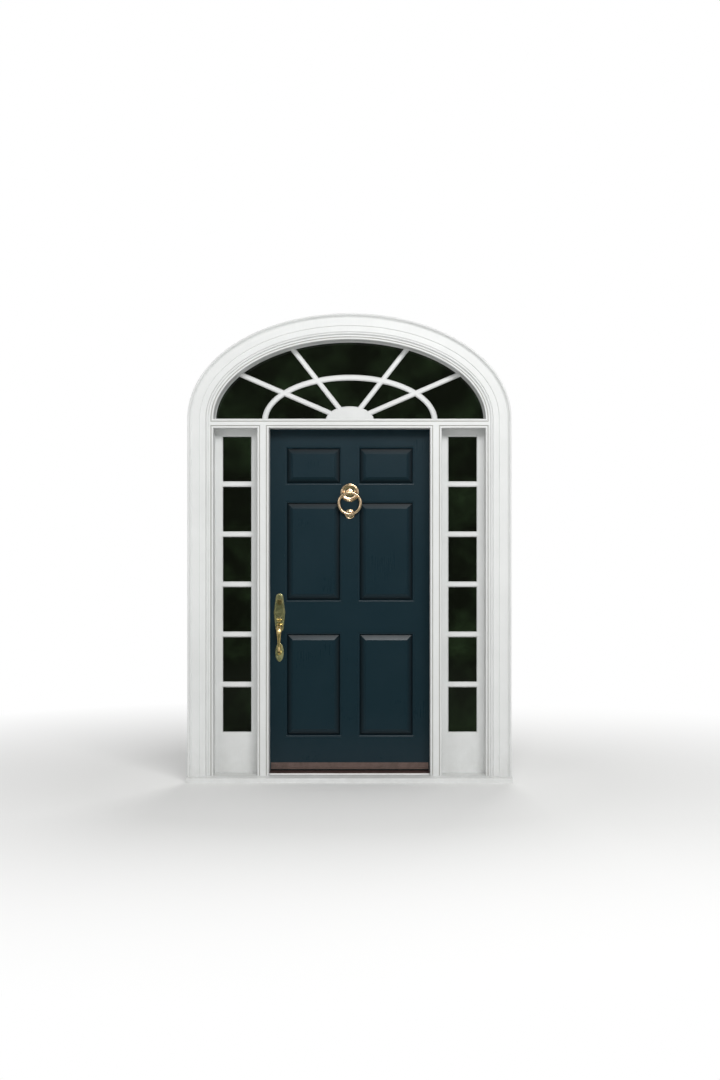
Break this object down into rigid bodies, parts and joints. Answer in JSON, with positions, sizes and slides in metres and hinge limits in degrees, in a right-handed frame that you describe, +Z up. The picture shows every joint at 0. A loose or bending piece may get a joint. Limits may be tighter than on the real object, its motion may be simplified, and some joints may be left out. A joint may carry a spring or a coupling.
{
  "type": "front door",
  "caption": "Raised-panel front door in its frame, with divided sidelights, an elliptical sunburst fanlight, a ring knocker and a thumb-latch handle; the leaf swings into the room.",
  "frame": {"origin": "middle of the sill's underside, half way through the depth of the frame", "axes": "+X to the right seen from outside, towards the hinges, +Y through the wall into the room, +Z up"},
  "size_m": [1.998, 0.2783, 2.8769],
  "materials": {
    "frame_paint": "satin white paint",
    "sill_paint": "worn white paint",
    "leaf_paint": "satin blue-black paint",
    "glass": "clear",
    "brass": "polished",
    "steel": "brushed",
    "bronze": "bronze paint",
    "threshold_metal": "mill",
    "seal": "matt"
  },
  "bodies": {
    "frame": {"arched_head": "frame_paint", "casing_arch": "frame_paint", "casing_leg_left": "frame_paint", "casing_leg_right": "frame_paint", "fanlight_hub": "frame_paint", "fanlight_inner_arch": "frame_paint", "fanlight_panes": "glass", "fanlight_sash": "frame_paint", "fanlight_spokes": "frame_paint", "frame_screws": "steel", "hinge_frame_plates": "brass", "hinge_pins": "brass", "mullion_left": "frame_paint", "mullion_right": "frame_paint", "side_jamb_left": "frame_paint", "side_jamb_right": "frame_paint", "sidelight_beads": "frame_paint", "sidelight_frame_left": "frame_paint", "sidelight_frame_right": "frame_paint", "sidelight_muntins": "frame_paint", "sidelight_panes": "glass", "sill": "sill_paint", "strike_plate": "steel", "threshold": "threshold_metal", "transom_bar": "frame_paint", "weatherstrip": "seal"},
    "leaf": {"bottom_rail": "leaf_paint", "door_sweep": "bronze", "frieze_rail": "leaf_paint", "handle_grip": "brass", "handle_lower_plate": "brass", "handle_upper_plate": "brass", "hinge_leaf_plates": "brass", "hinge_stile": "leaf_paint", "inner_plate": "brass", "key_cylinder": "brass", "knocker_rose": "brass", "knocker_striker": "brass", "leaf_screws": "steel", "lock_case": "steel", "lock_faceplate": "brass", "lock_rail": "leaf_paint", "lock_stile": "leaf_paint", "mid_stile_bottom": "leaf_paint", "mid_stile_middle": "leaf_paint", "mid_stile_top": "leaf_paint", "panel_bottom_left": "leaf_paint", "panel_bottom_right": "leaf_paint", "panel_middle_left": "leaf_paint", "panel_middle_right": "leaf_paint", "panel_top_left": "leaf_paint", "panel_top_right": "leaf_paint", "top_rail": "leaf_paint"},
    "deadbolt": {"deadbolt": "brass"},
    "inner_knob": {"inner_knob": "brass"},
    "key_plug": {"key_plug": "brass"},
    "knocker_ring": {"knocker_ring": "brass"},
    "latch_bolt": {"latch_bolt": "brass"},
    "thumb_piece": {"thumb_piece": "brass"},
    "thumbturn": {"thumbturn": "brass"}
  },
  "joints": [
    {"name": "door_swing", "type": "hinge", "parent": "frame", "child": "leaf", "pos_m": [0.5095, 0.09, 1.115], "axis": [0, 0, -1], "range_deg": [0, 105]},
    {"name": "knocker_swing", "type": "hinge", "parent": "leaf", "child": "knocker_ring", "pos_m": [0, 0.0115, 1.78], "axis": [-1, 0, 0], "range_deg": [0, 110]},
    {"name": "knob_turn", "type": "hinge", "parent": "leaf", "child": "inner_knob", "pos_m": [-0.438, 0.0865, 1.025], "axis": [0, 1, 0], "range_deg": [0, 45], "stiffness_Nm_per_rad": 0.3, "springref_deg": 45},
    {"name": "thumb_press", "type": "hinge", "parent": "leaf", "child": "thumb_piece", "pos_m": [-0.438, 0.0485, 0.994], "axis": [1, 0, 0], "range_deg": [-15, 0]},
    {"name": "latch_slide", "type": "slide", "parent": "leaf", "child": "latch_bolt", "axis": [-1, 0, 0], "range_m": [0, 0.012]},
    {"name": "thumbturn_turn", "type": "hinge", "parent": "leaf", "child": "thumbturn", "pos_m": [-0.438, 0.0865, 1.1], "axis": [0, 1, 0], "range_deg": [0, 90]},
    {"name": "deadbolt_slide", "type": "slide", "parent": "leaf", "child": "deadbolt", "axis": [-1, 0, 0], "range_m": [0, 0.025]},
    {"name": "plug_turn", "type": "hinge", "parent": "leaf", "child": "key_plug", "pos_m": [-0.438, 0.0325, 1.1], "axis": [0, 1, 0], "range_deg": [0, 90]}
  ],
  "couplings": [
    {"joint": "thumb_press", "follows": "knob_turn", "ratio": -0.333},
    {"joint": "latch_slide", "follows": "knob_turn", "m_per_rad": 0.01527},
    {"joint": "thumbturn_turn", "follows": "deadbolt_slide", "rad_per_m": 62.8},
    {"joint": "plug_turn", "follows": "deadbolt_slide", "rad_per_m": 62.8}
  ]
}
